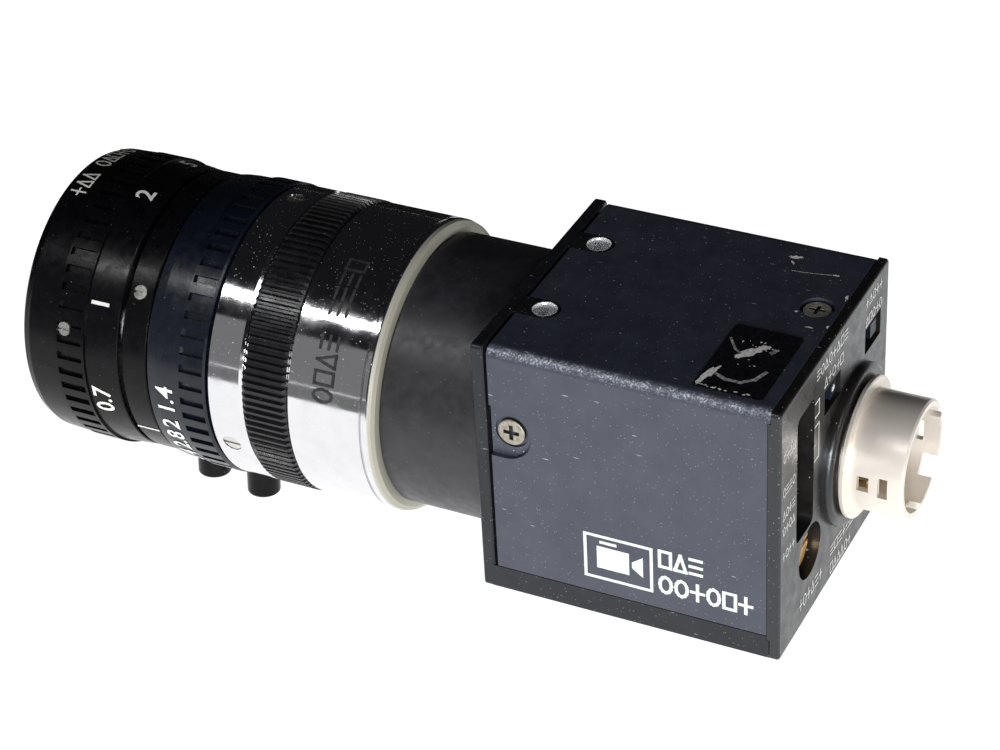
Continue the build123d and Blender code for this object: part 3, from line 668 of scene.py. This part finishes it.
def focus_scale(ink):
    def radius(s):
        return 15.3 + 0.32 * (s - 42.0) / 3.7
    marks = lens_marks(FOCUS_NUMBERS, radius)
    around = radius(FOCUS_NUMBERS)
    for text, angle in (("0.5", -67), ("0.7", -11), ("1", 31), ("2", 80), ("5", 112.6)):
        marks.digits(text, (math.radians(angle) * around, 0), NUMBER_HEIGHT)
    centre = math.radians(132) * around
    for side in (-1, 1):
        loop = [(centre + side * 0.55 + 0.5 * u, 0.45 * v) for u, v in
                [(math.cos(t * math.pi / 6), math.sin(t * math.pi / 6)) for t in range(12)]]
        marks.path(loop, 0.22, close=True)
    marks.build("focus_scale", ink, "key_plastic", "focus_ring")


def iris_scale(ink):
    def radius(s):
        return 15.7 - 0.10 * (s - 34.2) / 2.8
    marks = lens_marks(IRIS_NUMBERS, radius)
    stops = (("1.4", -2.4), ("2", -14.6), ("2.8", -25.4), ("4", -36.5), ("5.6", -47.5),
             ("8", -58.5), ("16", -80), ("22", -100))
    for text, angle in stops:
        marks.digits(text, (math.radians(angle) * radius(IRIS_NUMBERS), 0), NUMBER_HEIGHT)
    marks.build("iris_scale", ink, "key_plastic", "iris_ring")


def index_line(ink):
    marks = lens_marks(INDEX_LINE, lambda s: 15.3, INDEX_ANGLE)
    marks.path([(0, -1.2), (0, 1.2)], 0.30)
    marks.build("index_line", ink, "key_plastic")


def rim_signs(ink):
    marks = lens_marks(RIM_SIGNS, lambda s: 15.72 - 0.02 * (s - 51))
    for start, end in ((72, 86), (91, 113)):
        u = [math.radians(a) * SIGN_R for a in (start, end)]
        marks.symbols((u[0], -0.9), (u[1], -0.9), 1.7, round((u[1] - u[0]) / 1.25), 0.22)
    marks.build("rim_signs", ink, "key_plastic", "focus_ring")


def barrel_signs(ink):
    marks = lens_marks(BARREL_SIGNS, lambda s: SIGN_R)
    for start, end in ((14, 41), (47, 72)):
        u = [math.radians(a) * SIGN_R for a in (start, end)]
        marks.symbols((u[0], -1.1), (u[1], -1.1), 2.1, 4, 0.30)
    marks.build("barrel_signs", ink, "chip_plastic")


def turned_piece(name, profile, place, look, count=48):
    """A surface turned from (radius, height) points; place turns (radius, angle, height) into a point."""
    points = [place(r, 2 * math.pi * i / count, h) for r, h in profile for i in range(count)]
    faces = []
    for row in range(len(profile) - 1):
        for i in range(count):
            j = (i + 1) % count
            a, b = row * count, (row + 1) * count
            faces.append((a + i, a + j, b + j, b + i))
    piece = mesh_piece(name, points, faces, look)
    for face in piece.data.polygons:
        face.use_smooth = True


def tap_liners(look):
    """Bright threads inside the two tapped holes on top."""
    profile = [(1.28, 0.012), (1.25, 0.03), (1.23, -0.08)]
    for i in range(9):
        profile += [(1.22, -0.14 - 0.25 * i), (1.10, -0.26 - 0.25 * i)]
    profile += [(0.9, -2.5), (0.02, -2.9)]
    for side, (x, y) in zip(("left", "right"), TOP_TAPS):
        def place(r, angle, h):
            return on_top(x + r * math.cos(angle), y + r * math.sin(angle), h)
        turned_piece("tap_" + side, profile, place, look)


def slider_painted_glint(ink):
    """A ragged white dot on the end of one slider: a painted highlight that stands in for the glint on the
    glossy slider.
    """
    low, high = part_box("termination_slider")
    centre = (low + high) / 2

    def place(u, v, lift):
        return Vector((centre.x + u * MM, high.y + lift * MM, centre.z + v * MM))
    marks = Marks(place)
    marks.blot((0.0, 0.1), (0.42, 0.34), 0, 0.25)
    marks.build("slider_painted_glint", ink, "key_plastic", "termination_slider")


def add_prints():
    # This white also colours the painted highlight dot on the termination slider.
    white = plain("print_ink_and_painted_glint", (0.66, 0.67, 0.64), (0.80, 0.80, 0.76), 0.5)
    green = plain("side_ink", (0.60, 0.68, 0.63), (0.78, 0.82, 0.78), 0.5)
    dark = plain("dark_ink", (0.012, 0.012, 0.014), (0.03, 0.03, 0.03), 0.45)
    paper = plain("label_paper", (0.62, 0.60, 0.58), (0.90, 0.89, 0.87), 0.7, 0.0, 3.0, 0.05)
    smear = plain("label_smear", (0.10, 0.10, 0.11), (0.55, 0.54, 0.54), 0.5, 0.0, 2.5, 0.04)
    side_print(green)
    rear_print(white)
    label_wear(paper, smear)
    focus_scale(white)
    iris_scale(white)
    index_line(white)
    rim_signs(white)
    # The white dot on the termination slider is a painted highlight.
    slider_painted_glint(white)
    tap_liners(plain("tap_steel", (0.88, 0.90, 0.92), (0.97, 0.98, 0.99), 0.25, 0.45))
    barrel_signs(dark)


make_camera()
make_studio()
dress_nodes()
add_prints()
